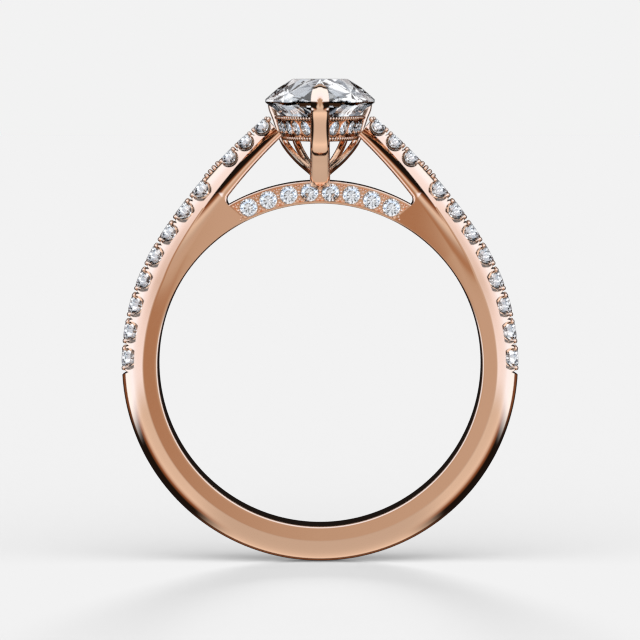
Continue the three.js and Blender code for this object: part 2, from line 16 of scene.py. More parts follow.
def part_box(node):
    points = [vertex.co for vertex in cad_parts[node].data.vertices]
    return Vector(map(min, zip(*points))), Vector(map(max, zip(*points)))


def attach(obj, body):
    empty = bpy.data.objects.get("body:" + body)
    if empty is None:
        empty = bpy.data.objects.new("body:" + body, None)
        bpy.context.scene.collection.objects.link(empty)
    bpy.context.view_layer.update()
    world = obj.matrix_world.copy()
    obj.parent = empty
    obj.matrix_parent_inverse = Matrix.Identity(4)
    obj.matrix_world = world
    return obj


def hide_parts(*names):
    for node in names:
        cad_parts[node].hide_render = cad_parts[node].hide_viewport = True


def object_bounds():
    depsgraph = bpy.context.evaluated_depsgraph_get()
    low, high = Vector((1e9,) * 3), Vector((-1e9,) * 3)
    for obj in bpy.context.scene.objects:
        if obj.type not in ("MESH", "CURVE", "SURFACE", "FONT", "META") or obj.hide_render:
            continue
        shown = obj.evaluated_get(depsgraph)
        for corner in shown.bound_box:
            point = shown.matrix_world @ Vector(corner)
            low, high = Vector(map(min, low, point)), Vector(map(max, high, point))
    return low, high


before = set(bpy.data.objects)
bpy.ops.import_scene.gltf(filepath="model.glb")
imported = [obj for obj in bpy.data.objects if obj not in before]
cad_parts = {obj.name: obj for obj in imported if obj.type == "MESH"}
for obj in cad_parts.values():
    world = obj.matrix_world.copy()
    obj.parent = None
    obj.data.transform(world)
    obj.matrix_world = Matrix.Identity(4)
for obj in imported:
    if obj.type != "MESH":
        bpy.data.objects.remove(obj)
cad_low, cad_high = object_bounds()

MM = 0.001  # one millimetre in metres

# ---- dimensions from the frame


def box_mm(node):
    """Lowest and highest corner of a CAD node, in millimetres."""
    low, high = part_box(node)
    return np.array(low) / MM, np.array(high) / MM


def node_points(node):
    """The corners of a CAD node's mesh, in millimetres."""
    return np.array([vertex.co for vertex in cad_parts[node].data.vertices]) / MM


shank_low, shank_high = box_mm("shank")
bridge_high = box_mm("bridge")[1]
gallery_low, gallery_high = box_mm("gallery_band")
stone_low, stone_high = box_mm("centre_stone")
base_low, base_high = box_mm("head_base")

BAND_RADIUS = -shank_low[2]
BAND_HALF_WIDTH = shank_high[1]
BORE_RADIUS = np.hypot(*node_points("shank")[:, [0, 2]].T).min()
BRIDGE_RADIUS = bridge_high[2]
BRIDGE_HALF_WIDTH = bridge_high[1]
GALLERY_TOP = gallery_high[2]
GALLERY_BOTTOM = gallery_low[2]
PEAR_HALF_WIDTH = stone_high[0]
PEAR_TIP = stone_low[1]
TABLE_HEIGHT = stone_high[2]
CULET_HEIGHT = stone_low[2]
HEEL_CENTRE = stone_high[1] - PEAR_HALF_WIDTH  # centre of the pear's round end, on Y
WING_LENGTH = HEEL_CENTRE - PEAR_TIP

# ---- the design's own numbers

SIDE_ARC = {"radius": 12.0, "angle": math.radians(33.5)}
SHOULDER_ARC = {"radius": 28.0, "angle": math.radians(16.5)}
BRIDGE_JOINT_ANGLE = math.radians(7)  # along the shoulder arc
ARM_END_HALF_WIDTH = 0.85
DOME_DROP = 0.2
DOME_HALF_WIDTH = 0.72
RIDGE_DEPTH = {"band": 1.12, "hip": 1.24, "head": 0.66}
HIP_TRAVEL = 5.0
SCOOP_START = 3.0
SCOOP_RECESS = 0.38
SCOOP_WIDTH = 0.55
EDGE_ROUND = 0.08
RIM_WIDTH = 0.13  # rounded rim along the underside of each arm
RIM_SINK = 0.02
ARM_DEPTH = {"bridge": 1.56, "head": 1.28}
WINDOW_CORNER = 0.35

CROWN_HEIGHT = 1.12
GIRDLE_HEIGHT = TABLE_HEIGHT - CROWN_HEIGHT
GALLERY_TOP_INSET = PEAR_HALF_WIDTH - gallery_high[0]
GALLERY_BOTTOM_INSET = 0.89
GALLERY_THICKNESS = 0.34
SIDE_CLAW_ANGLE = math.radians(27)
BACK_CLAW_ANGLE = math.radians(54)

side_arc_length = SIDE_ARC["radius"] * SIDE_ARC["angle"]
arm_end = side_arc_length + SHOULDER_ARC["radius"] * SHOULDER_ARC["angle"]
bridge_joint = side_arc_length + SHOULDER_ARC["radius"] * BRIDGE_JOINT_ANGLE

# ---- camera, floor and light

CAMERA_DISTANCE = 0.165
CAMERA_PITCH = math.radians(4.5)
CAMERA_LENS = 181.9
AIM_ABOVE_CENTRE = 0.05 * MM
FLOOR_SIZE = 2.0
BACKGROUND = 0.888


def stage_object(name, data, place, look):
    """Adds a camera or lamp at a place, looking along a direction."""
    thing = bpy.data.objects.new(name, data)
    thing.location = place
    thing.rotation_mode = "QUATERNION"
    thing.rotation_quaternion = Vector(look).to_track_quat("-Z", "Y")
    bpy.context.scene.collection.objects.link(thing)
    return thing


def make_camera():
    data = bpy.data.cameras.new("camera")
    data.sensor_width = 36.0
    data.lens = CAMERA_LENS
    data.clip_start = 0.01
    data.clip_end = 10.0
    aim = Vector((0, 0, (cad_low.z + cad_high.z) / 2 + AIM_ABOVE_CENTRE))
    back = Vector((0, -math.cos(CAMERA_PITCH), math.sin(CAMERA_PITCH)))
    place = aim + CAMERA_DISTANCE * back
    bpy.context.scene.camera = stage_object("camera", data, place, -back)


class Graph:
    """Short-hand for wiring the nodes of one material or world."""

    def __init__(self, owner):
        owner.use_nodes = True
        self.tree = owner.node_tree
        self.tree.nodes.clear()

    def add(self, kind, inputs=None, **settings):
        node = self.tree.nodes.new(kind)
        for name, value in settings.items():
            setattr(node, name, value)
        for name, value in (inputs or {}).items():
            self.feed(node.inputs[name], value)
        return node

    def feed(self, socket, value):
        if isinstance(value, bpy.types.NodeSocket):
            self.tree.links.new(value, socket)
        else:
            socket.default_value = value

    def math(self, operation, *values, clamp=False):
        node = self.add("ShaderNodeMath", operation=operation, use_clamp=clamp)
        for socket, value in zip(node.inputs, values):
            self.feed(socket, value)
        return node.outputs[0]

    def ramp(self, factor, stops, interpolation="LINEAR"):
        """A colour ramp through (place, colour) stops; a number stands for a grey."""
        node = self.add("ShaderNodeValToRGB", {"Fac": factor})
        node.color_ramp.interpolation = interpolation
        elements = node.color_ramp.elements
        while len(elements) < len(stops):
            elements.new(1.0)
        for element, (place, colour) in zip(elements, stops):
            element.position = place
            grey = isinstance(colour, (int, float))
            element.color = (*((colour,) * 3 if grey else colour), 1.0)
        return node.outputs["Color"]


def mix_colours(graph, factor, first, second, blend="MIX"):
    """Mixes two colours; the mix node's colour sockets are the ones of type RGBA."""
    node = graph.add("ShaderNodeMix", data_type="RGBA", blend_type=blend)
    factor_socket = next(s for s in node.inputs if s.type == "VALUE")
    colours = [s for s in node.inputs if s.type == "RGBA"]
    graph.feed(factor_socket, factor)
    graph.feed(colours[0], first)
    graph.feed(colours[1], second)
    return next(output for output in node.outputs if output.type == "RGBA")


# Radiance of the studio by angle from the front, as a share of the half turn to the back:
# towards the sides, overhead, obliquely down and underfoot. The bright parts are soft boxes
# and the darks beside and behind them are flags.
BLACK = (0.012, 0.01, 0.009)
WARM_DARK = (0.23, 0.1, 0.045)
COOL_WHITE = (1.1, 1.5, 2.1)  # a trace of blue, which rose gold turns to white
SIDE_LIGHT = [(0.0, 0.5), (0.075, 0.68), (0.1, (1.0, 1.15, 1.45)), (0.16, COOL_WHITE),
              (0.42, (1.2, 1.6, 2.1)), (0.45, BLACK), (0.6, BLACK), (0.76, WARM_DARK),
              (0.9, BLACK), (1.0, BLACK)]
TOP_LIGHT = [(0.0, 0.5), (0.06, 0.8), (0.095, (1.05, 1.25, 1.6)), (0.2, COOL_WHITE),
             (0.5, (1.2, 1.6, 2.1)), (0.54, BLACK), (0.64, BLACK), (0.7, 0.6), (0.8, 0.5),
             (0.86, WARM_DARK), (0.93, BLACK), (1.0, BLACK)]
LOWER_SIDE_LIGHT = [(0.0, 0.5), (0.08, 0.62), (0.15, 0.85), (0.21, (0.3, 0.14, 0.07)),
                    (0.28, BLACK), (1.0, BLACK)]
FLOOR_LIGHT = [(0.0, 0.5), (0.08, 0.58), (0.2, 0.66), (0.34, 0.8), (0.42, 1.0), (0.5, 0.8),
               (0.6, 0.6), (0.66, 0.25), (0.72, BLACK), (0.8, WARM_DARK), (0.9, BLACK),
               (1.0, BLACK)]
FRONT_REACH = 0.08  # the front's tones lie this far either side of straight ahead
FRONT_LIGHT = [(0.15, (0.43, 0.28, 0.19)), (0.5, (0.56, 0.49, 0.43)), (0.85, (0.6, 0.54, 0.5))]

# What a stone shows through its facets: patches of their own, dark, cool and white.
GEM_PATCHES = [(0.0, (0.04, 0.045, 0.055)), (0.13, (0.33, 0.37, 0.43)),
               (0.32, (0.74, 0.79, 0.86)), (0.52, (1.0, 1.03, 1.06)), (0.78, (1.6, 1.62, 1.65))]
GEM_PATCH_SCALE = 2.6

# Where one kind of light hands over to the next: by height over or under the middle, as a share
# of the way from the finger's axis, and for the front by the angle from straight ahead.
TOP_BLEND = (0.35, 0.8)
LOWER_SIDE_BLEND = (0.3, 0.5)
FLOOR_BLEND = (0.8, 0.93)
FRONT_BLEND = (0.03, 0.11)


def make_world():
    world = bpy.data.worlds.new("studio")
    bpy.context.scene.world = world
    graph = Graph(world)
    direction = graph.add("ShaderNodeTexCoord").outputs["Generated"]
    split = graph.add("ShaderNodeSeparateXYZ", {"Vector": direction})
    x, y, z = split.outputs
    angle = graph.math("ARCCOSINE", graph.math("MULTIPLY", y, -1.0))
    turned = graph.math("DIVIDE", angle, math.pi)
    spread = graph.math("SQRT", graph.math("SUBTRACT", 1.0001, graph.math("MULTIPLY", y, y)))
    up = graph.math("DIVIDE", z, spread)

    def smooth(value, start, end):
        node = graph.add("ShaderNodeMapRange", {"Value": value, "From Min": start, "From Max": end},
                         interpolation_type="SMOOTHSTEP")
        return node.outputs["Result"]

    light = graph.ramp(turned, SIDE_LIGHT)
    light = mix_colours(graph, smooth(up, *TOP_BLEND), light, graph.ramp(turned, TOP_LIGHT))
    down = graph.math("MULTIPLY", up, -1.0)
    lower_side = graph.ramp(turned, LOWER_SIDE_LIGHT)
    light = mix_colours(graph, smooth(down, *LOWER_SIDE_BLEND), light, lower_side)
    floor_light = graph.ramp(turned, FLOOR_LIGHT)
    light = mix_colours(graph, smooth(down, *FLOOR_BLEND), light, floor_light)
    across = graph.add("ShaderNodeMapRange", {
        "Value": x, "From Min": -FRONT_REACH, "From Max": FRONT_REACH}).outputs["Result"]
    front_light = graph.ramp(across, FRONT_LIGHT)
    light = mix_colours(graph, smooth(turned, *FRONT_BLEND), front_light, light)
    patches = graph.add("ShaderNodeTexVoronoi", {"Vector": direction, "Scale": GEM_PATCH_SCALE})
    patch = graph.add("ShaderNodeSeparateColor", {"Color": patches.outputs["Color"]}).outputs[0]
    path = graph.add("ShaderNodeLightPath")
    through_stone = path.outputs["Is Transmission Ray"]
    light = mix_colours(graph, through_stone, light, graph.ramp(patch, GEM_PATCHES, "CONSTANT"))
    studio = graph.add("ShaderNodeBackground", {"Color": light, "Strength": 1.0})
    backdrop = graph.add("ShaderNodeBackground", {"Color": (BACKGROUND,) * 3 + (1.0,)})
    choice = graph.add("ShaderNodeMixShader", {"Fac": path.outputs["Is Camera Ray"]})
    graph.feed(choice.inputs[1], studio.outputs[0])
    graph.feed(choice.inputs[2], backdrop.outputs[0])
    graph.add("ShaderNodeOutputWorld", {"Surface": choice.outputs[0]})


BACK_LAMP = {"place": (0.0, 0.145, 0.036), "size": 0.04, "energy": 0.2}


def make_back_lamp():
    """A low lamp behind the ring, for the soft shadow in front of it only."""
    data = bpy.data.lights.new("back_lamp", "AREA")
    data.energy = BACK_LAMP["energy"]
    data.size = BACK_LAMP["size"]
    lamp = stage_object("back_lamp", data, BACK_LAMP["place"], -Vector(BACK_LAMP["place"]))
    lamp.visible_camera = False
    lamp.visible_glossy = False
    lamp.visible_transmission = False


def make_floor():
    half = FLOOR_SIZE / 2
    mesh = bpy.data.meshes.new("floor")
    corners = [(-half, -half), (half, -half), (half, half), (-half, half)]
    mesh.from_pydata([(x, y, cad_low.z) for x, y in corners], [], [(0, 1, 2, 3)])
    floor = bpy.data.objects.new("floor", mesh)
    bpy.context.scene.collection.objects.link(floor)
    material = bpy.data.materials.new("pale_floor")
    graph = Graph(material)
    paint = graph.add("ShaderNodeBsdfPrincipled",
                      {"Base Color": (BACKGROUND,) * 3 + (1.0,), "Roughness": 0.9})
    graph.add("ShaderNodeOutputMaterial", {"Surface": paint.outputs[0]})
    mesh.materials.append(material)
    floor.is_shadow_catcher = True
    floor.visible_glossy = False
    floor.visible_transmission = False


# ---- materials

GOLD = (0.94, 0.60, 0.41, 1.0)
GOLD_DEEP = (0.91, 0.565, 0.375, 1.0)
DIAMOND_IOR = 2.417


def object_place(graph, scale):
    """Object coordinates, which are metres, as a texture place with a feature size."""
    place = graph.add("ShaderNodeTexCoord").outputs["Object"]
    node = graph.add("ShaderNodeMapping", {"Vector": place, "Scale": (scale,) * 3})
    return node.outputs["Vector"]


def rose_gold(name, roughness, wear):
    """Mirror-polished rose gold: hairline wear in the gloss and a trace of colour change."""
    material = bpy.data.materials.new(name)
    graph = Graph(material)
    place = object_place(graph, 1000.0)
    cloud = graph.add("ShaderNodeTexNoise", {"Vector": place, "Scale": 0.35, "Detail": 3.0})
    hairline = graph.add("ShaderNodeTexNoise", {"Vector": graph.add(
        "ShaderNodeMapping", {"Vector": place, "Scale": (1.5, 14.0, 1.5)}).outputs[0],
        "Scale": 4.0, "Detail": 5.0, "Roughness": 0.65})
    gloss = graph.add("ShaderNodeMapRange", {
        "Value": hairline.outputs["Fac"], "From Min": 0.35, "From Max": 0.75,
        "To Min": roughness, "To Max": roughness + wear})
    bump = graph.add("ShaderNodeBump", {
        "Height": hairline.outputs["Fac"], "Strength": 0.04, "Distance": 0.000002})
    colour = mix_colours(graph, cloud.outputs["Fac"], GOLD, GOLD_DEEP)
    metal = graph.add("ShaderNodeBsdfPrincipled", {
        "Base Color": colour, "Metallic": 1.0, "Roughness": gloss.outputs["Result"],
        "Normal": bump.outputs["Normal"]})
    graph.add("ShaderNodeOutputMaterial", {"Surface": metal.outputs[0]})
    return material


def diamond(name, tint):
    """Colourless diamond: clear, highly refracting, with a trace of tone between its parts."""
    material = bpy.data.materials.new(name)
    graph = Graph(material)
    place = object_place(graph, 1000.0)
    cloud = graph.add("ShaderNodeTexNoise", {"Vector": place, "Scale": 0.8, "Detail": 2.0})
    colour = mix_colours(graph, cloud.outputs["Fac"], (1.0, 1.0, 1.0, 1.0), tint)
    polish = graph.add("ShaderNodeMapRange", {
        "Value": cloud.outputs["Fac"], "To Min": 0.0, "To Max": 0.01})
    glass = graph.add("ShaderNodeBsdfPrincipled", {
        "Base Color": colour, "Roughness": polish.outputs["Result"], "IOR": DIAMOND_IOR,
        "Transmission Weight": 1.0})
    graph.add("ShaderNodeOutputMaterial", {"Surface": glass.outputs[0]})
    return material


polished_gold = rose_gold("polished_rose_gold", 0.035, 0.05)
bead_gold = rose_gold("bead_rose_gold", 0.08, 0.06)
centre_diamond = diamond("centre_diamond", (0.96, 0.98, 1.0, 1.0))
small_diamond = diamond("small_diamond", (0.95, 0.97, 1.0, 1.0))

# ---- mesh helpers


def merged(shapes):
    """Joins (points, faces) shapes into one."""
    points = []
    faces = []
    for shape_points, shape_faces in shapes:
        start = sum(len(part) for part in points)
        points.append(np.asarray(shape_points, float).reshape(-1, 3))
        faces += [tuple(index + start for index in face) for face in shape_faces]
    return np.concatenate(points), faces


def closed_mesh(shape):
    """A mesh of (points, faces), in millimetres, with its faces pointing out."""
    points, faces = shape
    mesh = bpy.data.meshes.new("shape")
    mesh.from_pydata(np.asarray(points).tolist(), [], faces)
    work = bmesh.new()
    work.from_mesh(mesh)
    bmesh.ops.recalc_face_normals(work, faces=work.faces)
    work.to_mesh(mesh)
    work.free()
    return mesh


def combined(mesh, other, operation, solver):
    """A new mesh: one mesh joined with or cut by another."""
    body = bpy.data.objects.new("body", mesh)
    tool = bpy.data.objects.new("tool", other)
    for thing in (body, tool):
        bpy.context.scene.collection.objects.link(thing)
    modifier = body.modifiers.new("combine", "BOOLEAN")
    modifier.operation = operation
    modifier.solver = solver
    modifier.object = tool
    graph = bpy.context.evaluated_depsgraph_get()
    result = bpy.data.meshes.new_from_object(body.evaluated_get(graph))
    for thing in (body, tool):
        bpy.data.objects.remove(thing)
    return result


def cut_away(mesh, cutters):
    """Cuts shapes out of a mesh in turn; each shape is one or more separate bodies."""
    for cutter in cutters:
        mesh = combined(mesh, closed_mesh(cutter), "DIFFERENCE", "MANIFOLD")
    return mesh


def add_piece(name, mesh, material, slot, nodes=(), smooth_angle=30.0):
    """Scales a mesh to metres and makes it a piece; smooth_angle 0 keeps its facets flat."""
    mesh.name = name
    mesh.transform(Matrix.Scale(MM, 4))
    mesh.materials.clear()
    mesh.materials.append(material)
    piece = bpy.data.objects.new(name, mesh)
    bpy.context.scene.collection.objects.link(piece)
    if smooth_angle:
        mesh.shade_smooth()
        mesh.set_sharp_from_angle(angle=math.radians(smooth_angle))
        weighted = piece.modifiers.new("weighted normals", "WEIGHTED_NORMAL")
        weighted.keep_sharp = True
    else:
        mesh.shade_flat()
    # Light that has passed through a stone ignores the metal, which would turn stones brown.
    piece.visible_transmission = slot != "rose_gold"
    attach(piece, "root")
    if nodes:
        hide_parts(*nodes)
    return piece


def loft(rings, closed=False):
    """Skins a row of equal-count point rings. An open row gets a flat cap at each end."""
    rings = np.asarray(rings, float)
    rows, count = rings.shape[:2]
    index = np.arange(rows * count).reshape(rows, count)
    faces = []
    for i in range(rows if closed else rows - 1):
        here, after = index[i], index[(i + 1) % rows]
        for j in range(count):
            k = (j + 1) % count
            faces.append((int(here[j]), int(after[j]), int(after[k]), int(here[k])))
    if not closed:
        faces += [tuple(int(i) for i in index[0]), tuple(int(i) for i in index[-1])]
    return rings.reshape(-1, 3), faces


def frame_from(axis, hint=(0.0, 1.0, 0.0)):
    """Two unit directions square to an axis, the first as near to hint as can be."""
    axis = np.asarray(axis, float)
    axis = axis / np.linalg.norm(axis)
    first = np.asarray(hint, float) - np.dot(hint, axis) * axis
    if np.linalg.norm(first) < 0.05:
        first = np.array([1.0, 0.0, 0.0]) - axis[0] * axis
    first = first / np.linalg.norm(first)
    return first, np.cross(axis, first)


LATHE_START = 0.037  # turns the first corner off the ring's own planes, so cuts meet cleanly


def lathe(origin, axis, profile, sides):
    """Turns (radius, height) points about an axis through origin; open ends are capped."""
    first, second = frame_from(axis)
    axis = np.asarray(axis, float) / np.linalg.norm(axis)
    angles = LATHE_START + np.arange(sides) * 2 * math.pi / sides
    rings = [[origin + radius * (math.cos(a) * first + math.sin(a) * second) + height * axis
              for a in angles] for radius, height in profile]
    return loft(rings)


def bead(origin, axis, radius, height, stem=0.1):
    """A grain of metal: a domed cap on a short stem that stands in the surface."""
    angles = [0.0, 0.35, 0.7, 1.05, 1.35, 1.5]
    profile = [(0.85 * radius, -stem)]
    profile += [(radius * math.cos(a), height * math.sin(a)) for a in angles]
    return lathe(origin, axis, profile, 10)


# ---- cut stones

ROUND_MAINS = 8  # bezel facets round the crown, and main facets round the pavilion
PEAR_MAINS = 10

# A round brilliant's proportions, as shares of its diameter.
CULET_SHARE = 0.43  # from girdle to culet
TABLE_SHARE = 0.155  # from girdle to table
TABLE_WIDTH = 0.56
HALF_GIRDLE = 0.014
STAR_SHARE = 0.55  # how far down the crown the stars reach
HALVES_SHARE = 0.78  # how far down the pavilion the halves reach


def plane_through(a, b, c):
    """Unit normal and offset of the plane through three points."""
    normal = np.cross(b - a, c - a)
    normal = normal / np.linalg.norm(normal)
    return normal, float(normal @ a)


def on_both(first, second, height):
    """The point at a height that lies on two planes."""
    rows = np.array([first[0][:2], second[0][:2]])
    offsets = [plane[1] - plane[0][2] * height for plane in (first, second)]
    x, y = np.linalg.solve(rows, offsets)
    return np.array([x, y, height])


def drop_onto(plane, point):
    """The point straight above or below point on a plane."""
    normal, offset = plane
    height = (offset - normal[0] * point[0] - normal[1] * point[1]) / normal[2]
    return np.array([point[0], point[1], height])


def half_stone(outline, inner, girdle, split_height, steps):
    """One side of a brilliant cut. outline(u) gives the girdle's plan at u mains round, inner
    the point where each main facet ends: a table corner or the culet. Returns the corners
    where the halves meet, the girdle's points and the facets between them."""
    nudge = 0.01
    count = len(inner)
    rim = [np.array([*outline(i), girdle]) for i in range(count)]
    tangents = [np.array([*(outline(i + nudge) - outline(i - nudge)), 0.0])
                for i in range(count)]
    mains = [plane_through(rim[i], rim[i] + tangents[i], inner[i]) for i in range(count)]
    meets = [on_both(mains[i], mains[(i + 1) % count], split_height) for i in range(count)]
    girdle_points = []
    for i in range(count):
        middle = np.array([*outline(i + 0.5), girdle])
        for half in (0, 1):
            corner = rim[i] if half == 0 else rim[(i + 1) % count]
            plane = plane_through(corner, middle, meets[i])
            for step in range(steps):
                u = i + (half + step / steps) / 2
                flat = np.array([*outline(u), girdle])
                girdle_points.append(flat if step == 0 else drop_onto(plane, flat))
    return meets, girdle_points


def cut_stone(outline, table, table_height, girdle_half, culet, star_share, half_share, steps):
    """A full brilliant cut on any outline: table, stars, bezels, halves, girdle and
    pavilion, every facet flat. Heights are about the girdle's mid-plane."""
    count = len(table)
    star_height = girdle_half + (table_height - girdle_half) * star_share
    low_height = -girdle_half + (culet[2] + girdle_half) * half_share
    upper, top_rim = half_stone(outline, table, girdle_half, star_height, steps)
    lower, low_rim = half_stone(outline, [culet] * count, -girdle_half, low_height, steps)
    points = [*table, *upper, *top_rim, *low_rim, *lower, culet]
    first_star = count
    first_top = 2 * count
    rim_count = len(top_rim)
    first_low = first_top + rim_count
    first_meet = first_low + rim_count
    last = len(points) - 1
    faces = [tuple(range(count))]
    for i in range(count):
        after = (i + 1) % count
        before = (i - 1) % count
        main = 2 * steps * i
        faces.append((i, first_star + i, after))
        faces.append((i, first_star + before, first_top + main, first_star + i))
        faces.append((last, first_meet + before, first_low + main, first_meet + i))
        for half in (0, 1):
            span = [(main + half * steps + k) % rim_count for k in range(steps + 1)]
            faces.append((first_star + i, *[first_top + k for k in span]))
            faces.append((first_meet + i, *[first_low + k for k in span]))
    for k in range(rim_count):
        after = (k + 1) % rim_count
        faces.append((first_top + k, first_top + after, first_low + after, first_low + k))
    return np.array(points), faces


def round_brilliant(diameter):
    """A round brilliant with its girdle in the XY plane and its table up."""
    radius = diameter / 2

    def outline(u):
        angle = 2 * math.pi * u / ROUND_MAINS
        return radius * np.array([math.cos(angle), math.sin(angle)])

    table_height = TABLE_SHARE * diameter
    table = [np.array([*(TABLE_WIDTH * outline(i)), table_height]) for i in range(ROUND_MAINS)]
    culet = np.array([0.0, 0.0, -CULET_SHARE * diameter])
    return cut_stone(outline, table, table_height, HALF_GIRDLE * diameter, culet,
                     STAR_SHARE, HALVES_SHARE, 2)


def place_stone(shape, seat):
    """Moves a stone's points from its own frame to its seat."""
    points, faces = shape
    first, second = frame_from(seat["axis"])
    turn = np.column_stack([first, second, seat["axis"]])
    return seat["origin"] + points @ turn.T, faces


def seat_of(node):
    """Where a round stone's CAD node sits: its girdle centre, its axis and its diameter. A
    stone is flattest along its axis, and its culet lies farther out than its table."""
    points = np.unique(node_points(node).round(5), axis=0)
    centre = points.mean(axis=0)
    axis = np.linalg.svd(points - centre)[2][2]
    heights = (points - centre) @ axis
    if heights.max() > -heights.min():
        axis = -axis
        heights = -heights
    diameter = (heights.max() - heights.min()) / (CULET_SHARE + TABLE_SHARE)
    culet = centre + heights.min() * axis
    return {"origin": culet + CULET_SHARE * diameter * axis, "axis": axis, "diameter": diameter}


def seats_named(prefix, count):
    return [seat_of(f"{prefix}_{i + 1}") for i in range(count)]


SHOULDER_STONES = 11
BRIDGE_STONES = 8
GALLERY_WING_STONES = 6
GALLERY_STONES = GALLERY_WING_STONES + 2
LOWER_RUN = 8

shoulder_seats = {side: seats_named(f"{side}_shoulder_stone", SHOULDER_STONES)
                  for side in ("left", "right")}
bridge_seats = seats_named("bridge_stone", BRIDGE_STONES)
gallery_seats = {side: seats_named(f"{side}_gallery_stone", GALLERY_STONES)
                 for side in ("left", "right")}
gallery_seats["back"] = seats_named("back_gallery_stone", 1)


def add_round_stone(name, seat, nodes=()):
    shape = place_stone(round_brilliant(seat["diameter"]), seat)
    add_piece(name, closed_mesh(shape), small_diamond, "small_diamonds", nodes, smooth_angle=0)


# ---- shank


def lerp(start, end, share):
    return start + (end - start) * share


def clamp(value, low=0.0, high=1.0):
    return max(low, min(high, value))


def arc_point(centre, radius, angle):
    normal = np.array([math.cos(angle), math.sin(angle)])
    return np.asarray(centre) + radius * normal, normal


def outer_at(travel):
    """Point and outward normal, in XZ, on the right half of the shank's outer surface. Travel
    is the distance along it from the widest point, positive upwards."""
    if travel <= 0:
        return arc_point((0.0, 0.0), BAND_RADIUS, travel / BAND_RADIUS)
    side_centre = np.array([BAND_RADIUS - SIDE_ARC["radius"], 0.0])
    if travel <= side_arc_length:
        return arc_point(side_centre, SIDE_ARC["radius"], travel / SIDE_ARC["radius"])
    start, normal = arc_point(side_centre, SIDE_ARC["radius"], SIDE_ARC["angle"])
    arm_centre = start - SHOULDER_ARC["radius"] * normal
    angle = SIDE_ARC["angle"] + (travel - side_arc_length) / SHOULDER_ARC["radius"]
    return arc_point(arm_centre, SHOULDER_ARC["radius"], angle)


def depth_to_circle(point, normal, radius):
    """How deep a circle about the finger's axis lies under a point, along its normal."""
    along = point @ normal
    return along - math.sqrt(along * along - point @ point + radius * radius)


def shank_depth(travel, on_arm):
    if not on_arm:
        return depth_to_circle(*outer_at(travel), BORE_RADIUS)
    share = (travel - bridge_joint) / (arm_end - bridge_joint)
    arm = lerp(ARM_DEPTH["bridge"], ARM_DEPTH["head"], share)
    in_corner = max(0.0, WINDOW_CORNER - (travel - bridge_joint))
    return arm + WINDOW_CORNER - math.sqrt(WINDOW_CORNER ** 2 - in_corner ** 2)


def shank_half_width(travel):
    share = clamp((travel - side_arc_length) / (arm_end - side_arc_length))
    return lerp(BAND_HALF_WIDTH, ARM_END_HALF_WIDTH, share)


def ridge_depth(travel):
    if travel < HIP_TRAVEL:
        return lerp(RIDGE_DEPTH["band"], RIDGE_DEPTH["hip"], clamp(travel / HIP_TRAVEL))
    share = (travel - HIP_TRAVEL) / (arm_end - HIP_TRAVEL)
    return lerp(RIDGE_DEPTH["hip"], RIDGE_DEPTH["head"], share)


BEVEL_FLAT = 0.14  # slope of the bevel where it meets the ridge
BEVEL_TURN = 0.56  # extra slope at its outer edge
BEVEL_POWER = 4


def bevel_rise(share):
    """The convex bevel's rise from its outer edge (0) to the ridge (1)."""
    def risen(s):
        turned = 1 - (1 - s) ** (BEVEL_POWER + 1)
        return BEVEL_FLAT * s + BEVEL_TURN * turned / (BEVEL_POWER + 1)
    return risen(share) / risen(1.0)


def shank_side(travel, on_arm):
    """Depth and half-width pairs from the middle of the outer surface to that of the bore."""
    half = shank_half_width(travel)
    dome_edge = DOME_HALF_WIDTH * half / BAND_HALF_WIDTH
    ridge = ridge_depth(travel)
    depth = shank_depth(travel, on_arm)
    recess = SCOOP_RECESS * clamp((travel - SCOOP_START) / (arm_end - SCOOP_START)) ** 2
    web = half - recess
    web_end = depth - (RIM_WIDTH if on_arm else EDGE_ROUND)
    foot = min(ridge + SCOOP_WIDTH, web_end - 0.03)
    side = [(DOME_DROP * s * s, dome_edge * s) for s in np.linspace(0, 1, 10)]
    side += [(lerp(DOME_DROP, ridge, u), lerp(dome_edge, half, bevel_rise(u)))
             for u in np.linspace(0, 1, 15)[1:]]
    side += [(lerp(ridge, foot, part), web + recess * (1 - part) ** 2)
             for part in np.linspace(0, 1, 14)[1:]]
    side.append((web_end, web))
    if on_arm:
        radius = RIM_WIDTH / 2
        side += [(depth - radius - radius * math.cos(a), web - RIM_SINK + radius * math.sin(a))
                 for a in np.linspace(0.25, math.pi, 8)]
    else:
        side += [(depth - EDGE_ROUND + EDGE_ROUND * math.sin(a),
                  web - EDGE_ROUND + EDGE_ROUND * math.cos(a))
                 for a in np.linspace(0.1, math.pi / 2, 8)]
    edge = side[-1][1]
    side += [(depth, edge * share) for share in (0.75, 0.5, 0.25, 0.0)]
    return side


def shank_ring(travel, on_arm, direction):
    side = shank_side(travel, on_arm)
    around = side + [(d, -y) for d, y in side[-2:0:-1]]
    point, normal = outer_at(travel)
    inward = [point - d * normal for d, _ in around]
    return [(direction * p[0], y, p[1]) for p, (_, y) in zip(inward, around)]


def shank_blank():
    corner = WINDOW_CORNER * (1 - np.cos(np.linspace(0, math.pi / 2, 12)))
    stations = [(travel, False) for travel in np.linspace(-BAND_RADIUS * math.pi / 2, 0, 110)]
    stations += [(travel, False) for travel in np.linspace(0, bridge_joint, 84)[1:]]
    stations += [(bridge_joint + travel, True) for travel in corner + 0.002]
    stations += [(travel, True)
                 for travel in np.linspace(bridge_joint + WINDOW_CORNER, arm_end, 42)[1:]]
    left = [shank_ring(travel, on_arm, -1) for travel, on_arm in stations[:0:-1]]
    right = [shank_ring(travel, on_arm, 1) for travel, on_arm in stations]
    return loft(left + right)


SEAT_GAP = 0.015
U_CUT_SHARE = 0.37  # radius of the U-cut over the stone's diameter
U_RIM = {"from_y": 0.6, "to_y": 0.88, "flare": 0.17}
V_NOTCH = {"width": 0.36, "depth": 0.36}


